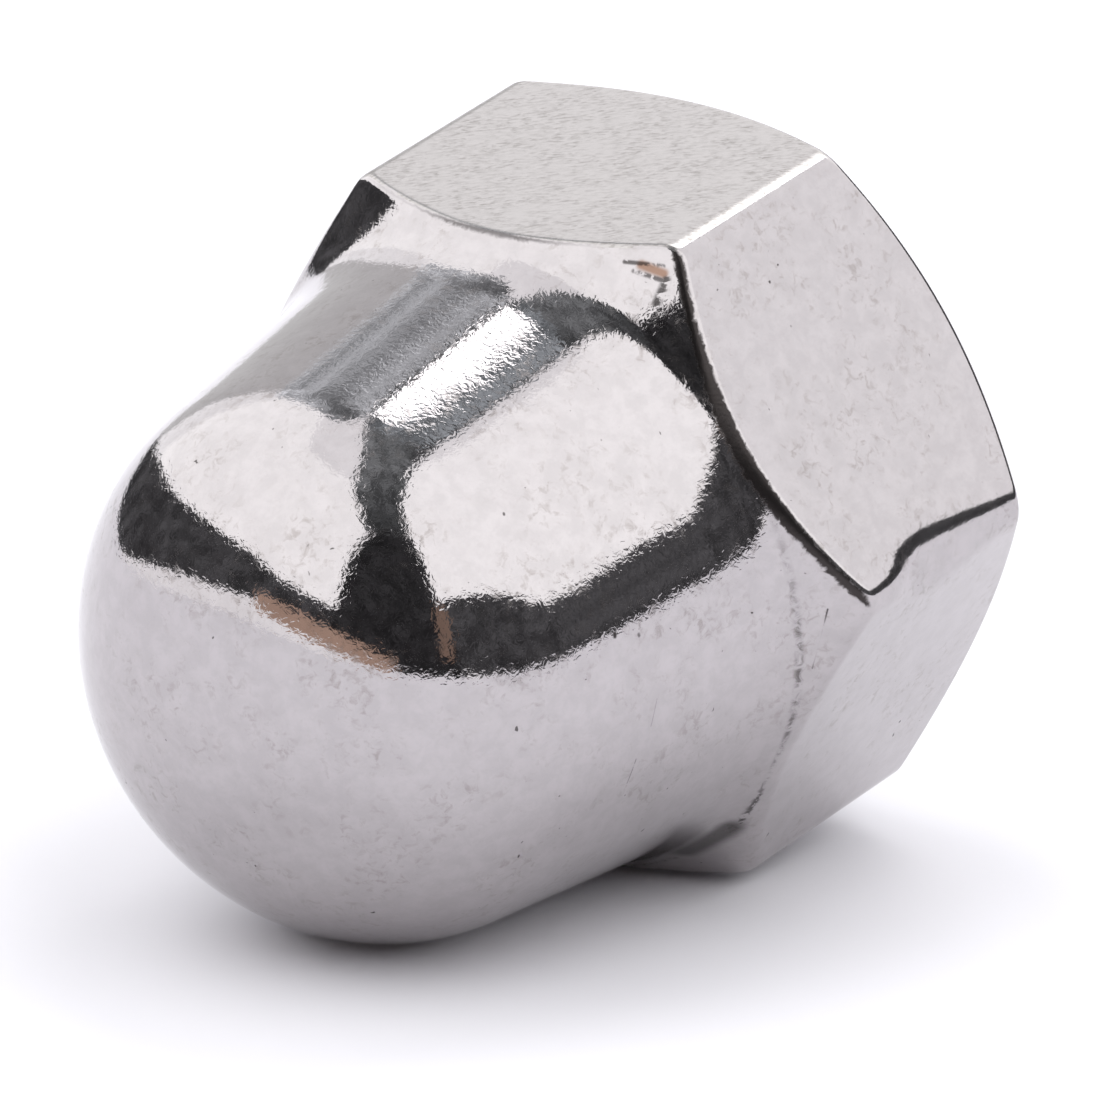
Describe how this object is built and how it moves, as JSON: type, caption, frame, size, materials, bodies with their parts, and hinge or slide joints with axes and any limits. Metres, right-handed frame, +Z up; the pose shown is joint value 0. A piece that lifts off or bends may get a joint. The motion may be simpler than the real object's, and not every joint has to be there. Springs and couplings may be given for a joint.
{
  "type": "cap nut",
  "caption": "Hexagon cap nut with a tall closed dome over a blind threaded hole; it covers and protects the end of a bolt or stud.",
  "frame": {"origin": "on the floor under the middle of the nut's box, as the nut lies at rest", "axes": "+Z up; the dome points to -Y, tipped down by the rest tilt of 10.7 degrees; the open end faces +Y; two flats face along the tipped vertical"},
  "size_m": [0.0114, 0.0128, 0.0107],
  "materials": {
    "cap_nut": "bright, worn polish with fine scratches and pits"
  },
  "bodies": {
    "root": {"cap_nut": "cap_nut"}
  },
  "joints": []
}
